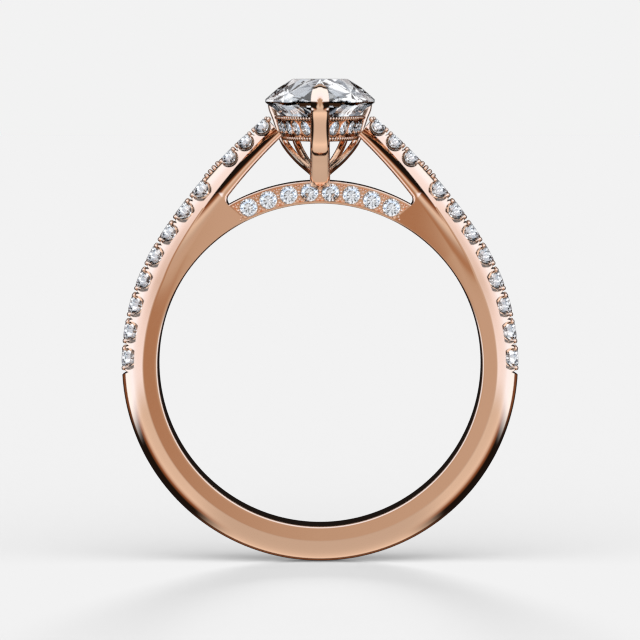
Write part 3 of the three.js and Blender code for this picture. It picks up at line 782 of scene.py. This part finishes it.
def seat_cutter(seat, wall):
    radius = seat["diameter"] / 2 + SEAT_GAP
    profile = [(0.01, -CULET_SHARE * seat["diameter"] - 2 * SEAT_GAP),
               (radius, -0.02 * seat["diameter"]), (radius, wall)]
    return lathe(seat["origin"], seat["axis"], profile, 32)


def u_cut(seat):
    radius = U_CUT_SHARE * seat["diameter"]
    return lathe(seat["origin"], (0, 1, 0), [(radius, -2.0), (radius, 2.0)], 40)


def u_rims(seat):
    """The flared mouths of a U-cut on the two sides of the shoulder."""
    radius = U_CUT_SHARE * seat["diameter"]
    profile = [(radius - 0.01, U_RIM["from_y"]), (radius + U_RIM["flare"], U_RIM["to_y"])]
    return merged([lathe(seat["origin"], (0, face, 0), profile, 40) for face in (-1, 1)])


def v_notch(place, normal, width, depth):
    """A V-shaped cut right across the shoulder, width wide at the outer surface; the cutter
    stands as far above the surface as it cuts below, so it is twice as wide at its top."""
    along = np.cross((0, 1, 0), normal)
    corners = [place - depth * normal,
               place + width * along + depth * normal,
               place - width * along + depth * normal]
    return loft([[corner + y * np.array([0.0, 1.0, 0.0]) for corner in corners]
                 for y in (-2.0, 2.0)])


def side_sign(side):
    return -1 if side == "left" else 1


def shoulder_place(side, travel, y=0.0, rise=0.0):
    """A point on the shoulder's outer surface, and the outward normal there."""
    point, normal = outer_at(travel)
    sign = side_sign(side)
    outward = np.array([sign * normal[0], 0.0, normal[1]])
    drop = DOME_DROP * (y / DOME_HALF_WIDTH) ** 2
    return np.array([sign * point[0], y, point[1]]) + (rise - drop) * outward, outward


def travel_of(seat):
    """How far up the outer surface a shoulder stone sits, found by halving."""
    target = np.array([abs(seat["axis"][0]), seat["axis"][2]])
    low, high = -1.0, arm_end
    for _ in range(40):
        middle = (low + high) / 2
        if outer_at(middle)[1][1] < target[1]:
            low = middle
        else:
            high = middle
    return high


seat_travels = [travel_of(seat) for seat in shoulder_seats["right"]]
post_travels = [(a + b) / 2 for a, b in zip(seat_travels, seat_travels[1:])]
first_post = seat_travels[0] - (seat_travels[1] - seat_travels[0]) / 2
GAP_POST = LOWER_RUN - 1  # the wide post between the two runs
GAP_BEADS = 4


def gap_travels():
    """Where the small grains stand on the wide post above the bridge joint."""
    start = seat_travels[GAP_POST] + shoulder_seats["left"][GAP_POST]["diameter"] / 2
    end = seat_travels[LOWER_RUN] - shoulder_seats["left"][LOWER_RUN]["diameter"] / 2
    return np.linspace(start + 0.1, end - 0.1, GAP_BEADS)


def notch_travels():
    """Where the V-notches cross each shoulder."""
    plain = [travel for i, travel in enumerate(post_travels) if i != GAP_POST]
    grains = gap_travels()
    between = [(a + b) / 2 for a, b in zip(grains, grains[1:])]
    return [(travel, 1.0) for travel in [first_post, *plain]] + [(t, 0.6) for t in between]


CLAW_BEAD = {"reach": 0.5, "y": 0.47, "radius": 0.11, "height": 0.085}


ARM_KNOB = {"x": 2.6, "y": -0.72, "z": 12.5, "radius": 0.13}


def shoulder_beads(side):
    """Claw tips at the four corners of every stone, grains on the wide post, and the round
    knob where the arm meets the gallery band."""
    beads = []
    for seat, travel in zip(shoulder_seats[side], seat_travels):
        scale = seat["diameter"] / shoulder_seats[side][0]["diameter"]
        reach = CLAW_BEAD["reach"] * scale
        for direction in (-1, 1):
            for face in (-1, 1):
                origin, outward = shoulder_place(
                    side, travel + direction * reach, face * CLAW_BEAD["y"] * scale, 0.0)
                radius = CLAW_BEAD["radius"] * scale
                beads.append(bead(origin, outward, radius, CLAW_BEAD["height"] * scale, 0.25))
    for travel in gap_travels():
        for y in (-0.42, -0.14, 0.14, 0.42):
            origin, outward = shoulder_place(side, travel, y)
            beads.append(bead(origin, outward, 0.1, 0.08, 0.12))
    knob = np.array([side_sign(side) * ARM_KNOB["x"], ARM_KNOB["y"], ARM_KNOB["z"]])
    ball = [(ARM_KNOB["radius"] * math.sin(a), -ARM_KNOB["radius"] * math.cos(a))
            for a in np.linspace(0.2, math.pi - 0.2, 9)]
    beads.append(lathe(knob, (0, 0, 1), ball, 16))
    return merged(beads)


def add_shank():
    mesh = closed_mesh(shank_blank())
    seats = shoulder_seats["left"] + shoulder_seats["right"]
    notches = []
    for side in ("left", "right"):
        for travel, scale in notch_travels():
            place, outward = shoulder_place(side, travel)
            width = V_NOTCH["width"] * scale
            notches.append(v_notch(place, outward, width, V_NOTCH["depth"] * scale))
    cutters = [
        merged([seat_cutter(seat, 0.6) for seat in seats]),
        merged([u_cut(seat) for seat in seats]),
        merged([u_rims(seat) for seat in seats]),
        merged(notches),
        gallery_blank(0.02),
    ]
    add_piece("shank_metal", cut_away(mesh, cutters), polished_gold, "rose_gold", ["shank"])
    for side in ("left", "right"):
        mesh = closed_mesh(shoulder_beads(side))
        add_piece(f"{side}_shoulder_claws", mesh, bead_gold, "rose_gold", smooth_angle=50)


def add_shoulder_stones():
    for side, seats in shoulder_seats.items():
        for i, seat in enumerate(seats):
            node = f"{side}_shoulder_stone_{i + 1}"
            add_round_stone(f"{side}_shoulder_diamond_{i + 1}", seat, [node])


# ---- bridge

BRIDGE_GAP = 0.01
FIELD = {"border": 0.07, "wall": 0.05, "depth": 0.09}
BRIDGE_EDGE = 0.05
BRIDGE_STEPS = 96


def bridge_end_angle(radius):
    """Angle from +X where the bar meets the right arm's joint face, at a radius."""
    point, normal = outer_at(bridge_joint)
    tangent = np.array([-normal[1], normal[0]])
    start = point + BRIDGE_GAP * tangent
    end = start - depth_to_circle(start, normal, radius) * normal
    return math.atan2(end[1], end[0])


def bridge_half_section(floor_depth):
    """Radius and half-width pairs over the front face, from the bore up to the top."""
    low = BORE_RADIUS
    top = BRIDGE_RADIUS
    face = BRIDGE_HALF_WIDTH
    arc = np.linspace(0, math.pi / 2, 5)
    ease = [(BRIDGE_EDGE * (1 - math.sin(a)), face - BRIDGE_EDGE * (1 - math.cos(a)))
            for a in arc[::-1]]
    section = [(low, 0.0), (low, face / 2)]
    section += [(low + r, y) for r, y in ease]
    border = BRIDGE_EDGE + FIELD["border"]
    wall = border + FIELD["wall"]
    section += [(low + border, face), (low + wall, face - floor_depth)]
    section += [(lerp(low + wall, top - wall, s), face - floor_depth) for s in (0.25, 0.5, 0.75)]
    section += [(top - wall, face - floor_depth), (top - border, face)]
    section += [(top - r, y) for r, y in ease[::-1]]
    section += [(top, face / 2), (top, 0.0)]
    return section


def bridge_shape():
    """The bar between the two arms, swept from the right joint over to the left one."""
    rings = []
    end_shares = [1.0, 0.985, 0.975]
    middle = list(np.linspace(0.96, -0.96, BRIDGE_STEPS))
    for share in [*end_shares, *middle, *[-s for s in end_shares[::-1]]]:
        floor_depth = 0.0 if abs(share) > 0.98 else FIELD["depth"]
        section = bridge_half_section(floor_depth)
        around = section + [(r, -y) for r, y in section[-2:0:-1]]
        ring = []
        for radius, y in around:
            angle = math.pi / 2 - share * (math.pi / 2 - bridge_end_angle(radius))
            ring.append((radius * math.cos(angle), -y, radius * math.sin(angle)))
        rings.append(ring)
    return loft(rings)


def facing(seat, face):
    """A bridge seat on the front (-1) or back (1) face of the bar."""
    origin = seat["origin"] * np.array([1.0, -face, 1.0])
    return {**seat, "origin": origin, "axis": np.array([0.0, float(face), 0.0])}


def bridge_beads(face):
    """Grains between the stones: a pair across each gap and a cluster at each edge."""
    angles = [math.atan2(seat["origin"][2], seat["origin"][0]) for seat in bridge_seats]
    pitch = angles[0] - angles[1]
    gaps = [angles[0] + pitch / 2] + [angle - pitch / 2 for angle in angles]
    middle = (BORE_RADIUS + BRIDGE_RADIUS) / 2
    floor = BRIDGE_HALF_WIDTH - FIELD["depth"]
    beads = []
    # Each grain: height above the bar's middle, degrees off the gap, radius.
    grains = [(0.085, 0.0, 0.075), (-0.085, 0.0, 0.075),
              (0.27, 0.0, 0.065), (0.37, -0.75, 0.06), (0.37, 0.75, 0.06), (0.39, 0.0, 0.055),
              (-0.29, 0.0, 0.065), (-0.38, -0.7, 0.055), (-0.38, 0.7, 0.055)]
    for gap in gaps:
        for height, turn, radius in grains:
            angle = gap + math.radians(turn)
            out = middle + height
            origin = np.array([out * math.cos(angle), face * floor, out * math.sin(angle)])
            beads.append(bead(origin, (0, face, 0), radius, FIELD["depth"] * 0.9, 0.05))
    return merged(beads)


def add_bridge():
    seats = [facing(seat, face) for face in (-1, 1) for seat in bridge_seats]
    cutter = merged([seat_cutter(seat, 0.4) for seat in seats])
    mesh = cut_away(closed_mesh(bridge_shape()), [cutter])
    add_piece("bridge_bar", mesh, polished_gold, "rose_gold", ["bridge"])
    for face, label in ((-1, "front"), (1, "back")):
        mesh = closed_mesh(bridge_beads(face))
        add_piece(f"bridge_{label}_grains", mesh, bead_gold, "rose_gold", smooth_angle=50)
        for i, seat in enumerate(bridge_seats):
            nodes = [f"bridge_stone_{i + 1}"] if face < 0 else []
            add_round_stone(f"bridge_{label}_diamond_{i + 1}", facing(seat, face), nodes)


# ---- pear outline


def wing_point(share, inset):
    """Right wing of the girdle, a parabola from tip (0) to widest line (1), moved inwards."""
    slope = 2 * PEAR_HALF_WIDTH * (1 - share) / WING_LENGTH
    length = math.hypot(1, slope)
    x = PEAR_HALF_WIDTH * (2 * share - share * share) - inset / length
    y = PEAR_TIP + WING_LENGTH * share + inset * slope / length
    return np.array([x, y])


def tip_share(inset):
    """Where the inset wings cross on the centre line."""
    low, high = 0.0, 0.9
    for _ in range(40):
        middle = (low + high) / 2
        if wing_point(middle, inset)[0] < 0:
            low = middle
        else:
            high = middle
    return high


def pear_outline(inset, wing_steps=36, heel_steps=30):
    """The whole outline, from the tip up the right wing and round the heel to the tip."""
    start = tip_share(inset) if inset > 0 else 0.0
    wing = [wing_point(share, inset) for share in np.linspace(start, 1, wing_steps + 1)]
    wing[0][0] = 0.0
    radius = PEAR_HALF_WIDTH - inset
    heel = [np.array([radius * math.cos(a), HEEL_CENTRE + radius * math.sin(a)])
            for a in np.linspace(0, math.pi / 2, heel_steps + 1)[1:]]
    heel[-1][0] = 0.0
    right = wing + heel
    return right + [np.array([-p[0], p[1]]) for p in right[-2:0:-1]]


# ---- centre stone

PEAR_TABLE = 0.52  # table over girdle, about the heel's centre
PEAR_GIRDLE = 0.075  # half the girdle's thickness at the mains
PEAR_STAR = 0.56
PEAR_HALVES = 0.72


def pear_plan(u):
    """The girdle's plan at u mains round: 0 is the tip, a quarter and three quarters of the
    way the widest line, and half way the heel."""
    u = u % PEAR_MAINS
    quarter = PEAR_MAINS / 4
    if u > 2 * quarter:
        x, y = pear_plan(PEAR_MAINS - u)
        return np.array([-x, y])
    if u <= quarter:
        return wing_point(u / quarter, 0.0)
    angle = (u / quarter - 1) * math.pi / 2
    return np.array([PEAR_HALF_WIDTH * math.cos(angle),
                     HEEL_CENTRE + PEAR_HALF_WIDTH * math.sin(angle)])


def add_centre_stone():
    focus = np.array([0.0, HEEL_CENTRE])
    table = [np.array([*(focus + PEAR_TABLE * (pear_plan(i) - focus)), CROWN_HEIGHT])
             for i in range(PEAR_MAINS)]
    culet = np.array([0.0, HEEL_CENTRE, CULET_HEIGHT - GIRDLE_HEIGHT])
    points, faces = cut_stone(pear_plan, table, CROWN_HEIGHT, PEAR_GIRDLE, culet,
                              PEAR_STAR, PEAR_HALVES, 8)
    shape = points + np.array([0.0, 0.0, GIRDLE_HEIGHT]), faces
    add_piece("pear_diamond", closed_mesh(shape), centre_diamond, "centre_diamond",
              ["centre_stone"], smooth_angle=0)


def pear_clearance(growth):
    """A plain body round the centre stone, for cutting what touches it."""
    rings = []
    for inset, height in ((2.7, CULET_HEIGHT - GIRDLE_HEIGHT), (0.0, -PEAR_GIRDLE),
                          (0.0, PEAR_GIRDLE), (1.34, CROWN_HEIGHT)):
        outline = pear_outline(inset - growth if inset < 2 else inset, 24, 20)
        rings.append([(x, y, GIRDLE_HEIGHT + height) for x, y in outline])
    return loft(rings)


# ---- gallery band


def gallery_inset(height):
    share = (height - GALLERY_BOTTOM) / (GALLERY_TOP - GALLERY_BOTTOM)
    return lerp(GALLERY_BOTTOM_INSET, GALLERY_TOP_INSET, share)


def gallery_section():
    """Share of the band's height and outward stand of its outer face: two rails and a field."""
    return [(0.0, -0.03), (0.02, 0.0), (0.15, 0.0), (0.2, -0.05), (0.5, -0.06), (0.8, -0.05),
            (0.85, 0.0), (0.98, 0.0), (1.0, -0.03)]


def gallery_blank(growth):
    """The pear-shaped band under the stone, as rings of the section round the outline."""
    outer = [(share, -(stand if growth == 0 else 0.0) - growth)
             for share, stand in gallery_section()]
    inner = [(share, GALLERY_THICKNESS + growth) for share in (1.0, 0.0)]
    profiles = []
    for share, inwards in outer + inner:
        level = GALLERY_BOTTOM + share * (GALLERY_TOP - GALLERY_BOTTOM)
        grown = level + growth * (2 * share - 1)
        outline = pear_outline(gallery_inset(level) + inwards)
        profiles.append([(x, y, grown) for x, y in outline])
    rings = np.array(profiles).transpose(1, 0, 2)
    return loft(rings, closed=True)


RAIL_BEAD = {"radius": 0.1, "pitch": 0.235}


def rail_beads(level, radius, pitch, skip=0.0):
    """A row of grains along the band's outer face at a height."""
    outline = np.array(pear_outline(gallery_inset(level), 200, 160))
    closed = np.vstack([outline, outline[:1]])
    steps = np.linalg.norm(np.diff(closed, axis=0), axis=1)
    travel = np.concatenate([[0.0], np.cumsum(steps)])
    count = int(round(travel[-1] / pitch))
    beads = []
    lean = math.atan2(GALLERY_BOTTOM_INSET - GALLERY_TOP_INSET, GALLERY_TOP - GALLERY_BOTTOM)
    for i in range(count):
        at = (i + 0.5) / count * travel[-1]
        k = min(int(np.searchsorted(travel, at)), len(steps)) - 1
        along = (closed[k + 1] - closed[k]) / steps[k]
        place = closed[k] + along * (at - travel[k])
        if abs(place[0]) < skip and place[1] < 0:
            continue
        outward = np.array([along[1] * math.cos(lean), -along[0] * math.cos(lean),
                            -math.sin(lean)])
        origin = np.array([*place, level]) - 0.03 * outward
        beads.append(bead(origin, outward, radius, 0.8 * radius, 0.05))
    return beads


def gallery_grains():
    """Small grains above and below the gaps between neighbouring gallery stones."""
    beads = []
    for side in ("left", "right"):
        wing = gallery_seats[side][:GALLERY_WING_STONES]
        row = wing[::-1] + gallery_seats[side][GALLERY_WING_STONES:]
        for first, second in zip(row, row[1:]):
            outward = (first["axis"] + second["axis"]) / 2
            outward = outward / np.linalg.norm(outward)
            middle = (first["origin"] + second["origin"]) / 2
            for rise in (-0.22, 0.22):
                origin = middle + np.array([0, 0, rise]) + 0.06 * outward
                beads.append(bead(origin, outward, 0.07, 0.07, 0.08))
    return beads


def add_gallery():
    seats = [seat for row in gallery_seats.values() for seat in row]
    cutters = [merged([seat_cutter(seat, 0.3) for seat in seats]), pear_clearance(0.02)]
    mesh = cut_away(closed_mesh(gallery_blank(0.0)), cutters)
    add_piece("gallery_wall", mesh, polished_gold, "rose_gold", ["gallery_band"])
    height = GALLERY_TOP - GALLERY_BOTTOM
    beads = rail_beads(GALLERY_TOP - 0.09 * height, skip=0.45, **RAIL_BEAD)
    beads += rail_beads(GALLERY_BOTTOM + 0.09 * height, skip=0.45, **RAIL_BEAD)
    beads += gallery_grains()
    add_piece("gallery_grains", closed_mesh(merged(beads)), bead_gold, "rose_gold",
              smooth_angle=50)
    for side, row in gallery_seats.items():
        for i, seat in enumerate(row):
            node = f"{side}_gallery_stone_{i + 1}"
            add_round_stone(f"{side}_gallery_diamond_{i + 1}", seat, [node])


# ---- claws and base


def catmull_rom(points, steps):
    """A smooth line through points, with its ends carried on straight."""
    points = [np.asarray(p, float) for p in points]
    ends = [2 * points[0] - points[1], *points, 2 * points[-1] - points[-2]]
    line = []
    for a, b, c, d in zip(ends, ends[1:], ends[2:], ends[3:]):
        for step in range(steps):
            t = step / steps
            line.append(0.5 * (2 * b + (c - a) * t + (2 * a - 5 * b + 4 * c - d) * t * t
                               + (3 * b - a - 3 * c + d) * t ** 3))
    line.append(points[-1])
    return np.array(line)


def sweep(line, section_at, side_hint):
    """Carries a section along a line. section_at(share) gives (side, front) offsets, and the
    side direction is square to the line and as near to side_hint as can be."""
    reach = np.concatenate([[0.0], np.cumsum(np.linalg.norm(np.diff(line, axis=0), axis=1))])
    tangents = np.gradient(line, axis=0)
    rings = []
    for place, tangent, travel in zip(line, tangents, reach):
        side, front = frame_from(tangent, side_hint)
        rings.append([place + a * side + b * front for a, b in section_at(travel / reach[-1])])
    return loft(rings)


CLAW_RADIUS = 0.17
# Each round claw: its angle round the heel, where its foot stands, and how deep its groove is.
ROUND_CLAWS = {"side": (SIDE_CLAW_ANGLE, 0.36, 0.3, 1.0),
               "back": (BACK_CLAW_ANGLE, 0.21, 0.72, 0.6)}
TIP_START = 0.9


def tip_scale(share, start, least):
    """Full size up to start, then a rounded end."""
    past = clamp((share - start) / (1 - start))
    return max(least, math.sqrt(max(0.0, 1 - past * past)))


def wire_section(share, groove):
    """A claw wire's section: round near its tip, and two lobes with a groove lower down."""
    scale = tip_scale(share, TIP_START, 0.12)
    lobes = groove * clamp((0.62 - share) / 0.12)
    points = []
    for k in range(28):
        angle = 2 * math.pi * k / 28
        dent = 1 - 0.45 * lobes * math.exp(-((abs(math.sin(angle)) - 1) / 0.12) ** 2)
        width = 1 + 0.15 * lobes
        points.append((CLAW_RADIUS * scale * width * math.cos(angle) * dent,
                       CLAW_RADIUS * scale * math.sin(angle) * dent))
    return points


def round_claw(angle, side, foot_x, foot_y):
    """The line of a claw from the head base past the gallery band and over the girdle."""
    def at(radius, height):
        return np.array([side * radius * math.cos(angle),
                         HEEL_CENTRE + radius * math.sin(angle), height])
    foot = np.array([side * foot_x, foot_y, base_high[2] + 0.05])
    elbow = at(PEAR_HALF_WIDTH - GALLERY_BOTTOM_INSET + CLAW_RADIUS, GALLERY_BOTTOM - 0.1)
    belly = (foot + elbow) / 2 + np.array([side * 0.07, 0.1, -0.08])
    band_head = at(PEAR_HALF_WIDTH - GALLERY_TOP_INSET + CLAW_RADIUS + 0.09, GALLERY_TOP - 0.15)
    return catmull_rom([
        foot, belly, elbow, band_head,
        at(PEAR_HALF_WIDTH, GIRDLE_HEIGHT - 0.35),
        at(PEAR_HALF_WIDTH - 0.02, GIRDLE_HEIGHT + 0.12),
        at(PEAR_HALF_WIDTH - 0.35, GIRDLE_HEIGHT + 0.42)], 12)


V_CLAW = {"foot_width": 1.02, "tip_width": 0.88, "thickness": 0.46}
V_CLAW_AHEAD = 0.14  # of the pear's point
V_SQUARENESS = 0.55  # below 1 the bar's section is a square with round corners
V_TIP_START = 0.86
V_ROOF_START = 0.8  # where the bar's front turns into two facets


def v_claw_line():
    tip_front = PEAR_TIP - V_CLAW_AHEAD
    return catmull_rom([
        (0, -0.45, BRIDGE_RADIUS - 0.35), (0, -2.1, 10.35), (0, -3.28, GALLERY_BOTTOM),
        (0, -3.86, GALLERY_TOP), (0, tip_front, GIRDLE_HEIGHT),
        (0, tip_front + 0.12, GIRDLE_HEIGHT + 0.55),
        (0, tip_front + 0.42, GIRDLE_HEIGHT + 0.88)], 14)


def v_section(share):
    """The flat front claw: a bar with eased edges whose top is roofed by two facets."""
    scale = tip_scale(share, V_TIP_START, 0.3)
    width = lerp(V_CLAW["foot_width"], V_CLAW["tip_width"], share) / 2 * scale
    depth = V_CLAW["thickness"] / 2 * scale
    roof = clamp((share - V_ROOF_START) / 0.02)
    points = []
    for k in range(40):
        angle = 2 * math.pi * (k + 0.5) / 40
        c, s = math.cos(angle), math.sin(angle)
        x = math.copysign(abs(c) ** V_SQUARENESS, c)
        y = math.copysign(abs(s) ** V_SQUARENESS, s)
        if y < 0:
            y = lerp(y, -(1.0 - 0.75 * abs(x)), roof)
        points.append((width * x, depth * y))
    return points


TIP_NOTCH = {"half_width": 0.15, "height": 0.42, "depth": 0.17, "top": 0.13}


def tip_notch():
    """The V-shaped nick in the front of the claw where it folds over the pear's point."""
    front = PEAR_TIP - V_CLAW_AHEAD - V_CLAW["thickness"] / 2
    top = GIRDLE_HEIGHT + TIP_NOTCH["top"]
    corners = [(-TIP_NOTCH["half_width"], top), (TIP_NOTCH["half_width"], top),
               (0.0, top - TIP_NOTCH["height"])]
    return loft([[(x, y, z) for x, z in corners]
                 for y in (front - 1.0, front + TIP_NOTCH["depth"])])


def add_claws():
    cutters = [pear_clearance(0.01)]
    for side in (-1, 1):
        label = "left" if side < 0 else "right"
        for name, (angle, foot_x, foot_y, groove) in ROUND_CLAWS.items():
            line = round_claw(angle, side, foot_x, foot_y)
            shape = sweep(line, lambda share, g=groove: wire_section(share, g), (1, 0, 0))
            mesh = cut_away(closed_mesh(shape), cutters)
            add_piece(f"{label}_{name}_claw_wire", mesh, polished_gold, "rose_gold",
                      [f"{label}_{name}_claw"], smooth_angle=45)
    shape = sweep(v_claw_line(), v_section, (1, 0, 0))
    mesh = cut_away(closed_mesh(shape), [pear_clearance(0.01), gallery_blank(0.01), tip_notch()])
    add_piece("front_v_tip_claw", mesh, polished_gold, "rose_gold", ["front_v_claw"],
              smooth_angle=32)


def add_head_base():
    """The oval collet that the claws spring from, with a rounded top edge."""
    centre = (base_low + base_high) / 2
    reach = (base_high - base_low) / 2
    profile = [(0.9, -1.0), (1.0, -0.85), (1.0, 0.1), (0.97, 0.4), (0.88, 0.75), (0.72, 0.95),
               (0.4, 1.0)]
    angles = np.linspace(0, 2 * math.pi, 49)[:-1]
    rings = [[(centre[0] + reach[0] * radius * math.cos(a),
               centre[1] + reach[1] * radius * math.sin(a),
               centre[2] + reach[2] * height) for a in angles] for radius, height in profile]
    add_piece("head_collet", closed_mesh(loft(rings)), polished_gold, "rose_gold",
              ["head_base"], smooth_angle=40)


# ---- assembly


def set_light_paths():
    """Enough bounces for light to find its way out of the stones."""
    scene = bpy.context.scene
    scene.cycles.max_bounces = 24
    scene.cycles.transmission_bounces = 20
    scene.cycles.glossy_bounces = 3
    scene.view_settings.view_transform = "Standard"


make_camera()
make_world()
make_back_lamp()
make_floor()
set_light_paths()
add_shank()
add_shoulder_stones()
add_bridge()
add_centre_stone()
add_gallery()
add_claws()
add_head_base()
